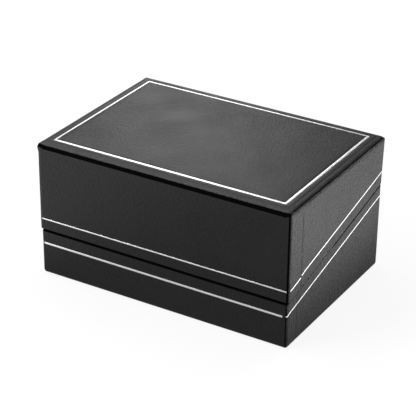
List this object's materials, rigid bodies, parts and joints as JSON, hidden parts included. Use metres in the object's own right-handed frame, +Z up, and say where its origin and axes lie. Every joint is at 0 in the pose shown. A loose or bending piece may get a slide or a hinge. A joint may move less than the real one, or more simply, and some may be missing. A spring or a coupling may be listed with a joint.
{
  "type": "cufflink display box",
  "caption": "Hinged display box for cufflinks: grained black cover over boards, sloping seam, silver foil lines, padded lid and a slotted velvet pad inside.",
  "frame": {"origin": "middle of the underside, on the surface that the box stands on", "axes": "+X to the right along the long front face, +Y to the rear, where the hinge is, +Z up"},
  "size_m": [0.09, 0.062, 0.0467],
  "materials": {
    "greyboard": "matte",
    "grained_cover": "satin",
    "silver_foil": "gloss",
    "black_velvet": "matte",
    "foot_felt": "matte",
    "foam": "matte",
    "satin": "satin",
    "hinge_steel": "satin"
  },
  "bodies": {
    "base": {"base_floor_board": "greyboard", "base_front_board": "greyboard", "base_rear_board": "greyboard", "base_left_board": "greyboard", "base_right_board": "greyboard", "base_main_cover": "grained_cover", "base_left_cover": "grained_cover", "base_right_cover": "grained_cover", "base_foot_sheet": "foot_felt", "base_foil_line": "silver_foil", "base_front_lining": "black_velvet", "base_rear_lining": "black_velvet", "base_left_lining": "black_velvet", "base_right_lining": "black_velvet", "pad_riser": "foam", "cufflink_pad": "black_velvet", "hinge_base_leaf": "hinge_steel", "hinge_base_rivets": "hinge_steel", "hinge_pin": "hinge_steel"},
    "lid": {"lid_top_board": "greyboard", "lid_front_board": "greyboard", "lid_rear_board": "greyboard", "lid_left_board": "greyboard", "lid_right_board": "greyboard", "lid_top_padding": "foam", "lid_main_cover": "grained_cover", "lid_left_cover": "grained_cover", "lid_right_cover": "grained_cover", "lid_foil_border": "silver_foil", "lid_foil_line": "silver_foil", "lid_front_lining": "black_velvet", "lid_rear_lining": "black_velvet", "lid_left_lining": "black_velvet", "lid_right_lining": "black_velvet", "lid_satin_pad": "satin", "hinge_lid_leaf": "hinge_steel", "hinge_lid_rivets": "hinge_steel"}
  },
  "joints": [
    {"name": "lid_hinge", "type": "hinge", "parent": "base", "child": "lid", "pos_m": [0, 0.0302, 0.02952], "axis": [-1, 0, 0], "range_deg": [0, 95]}
  ]
}
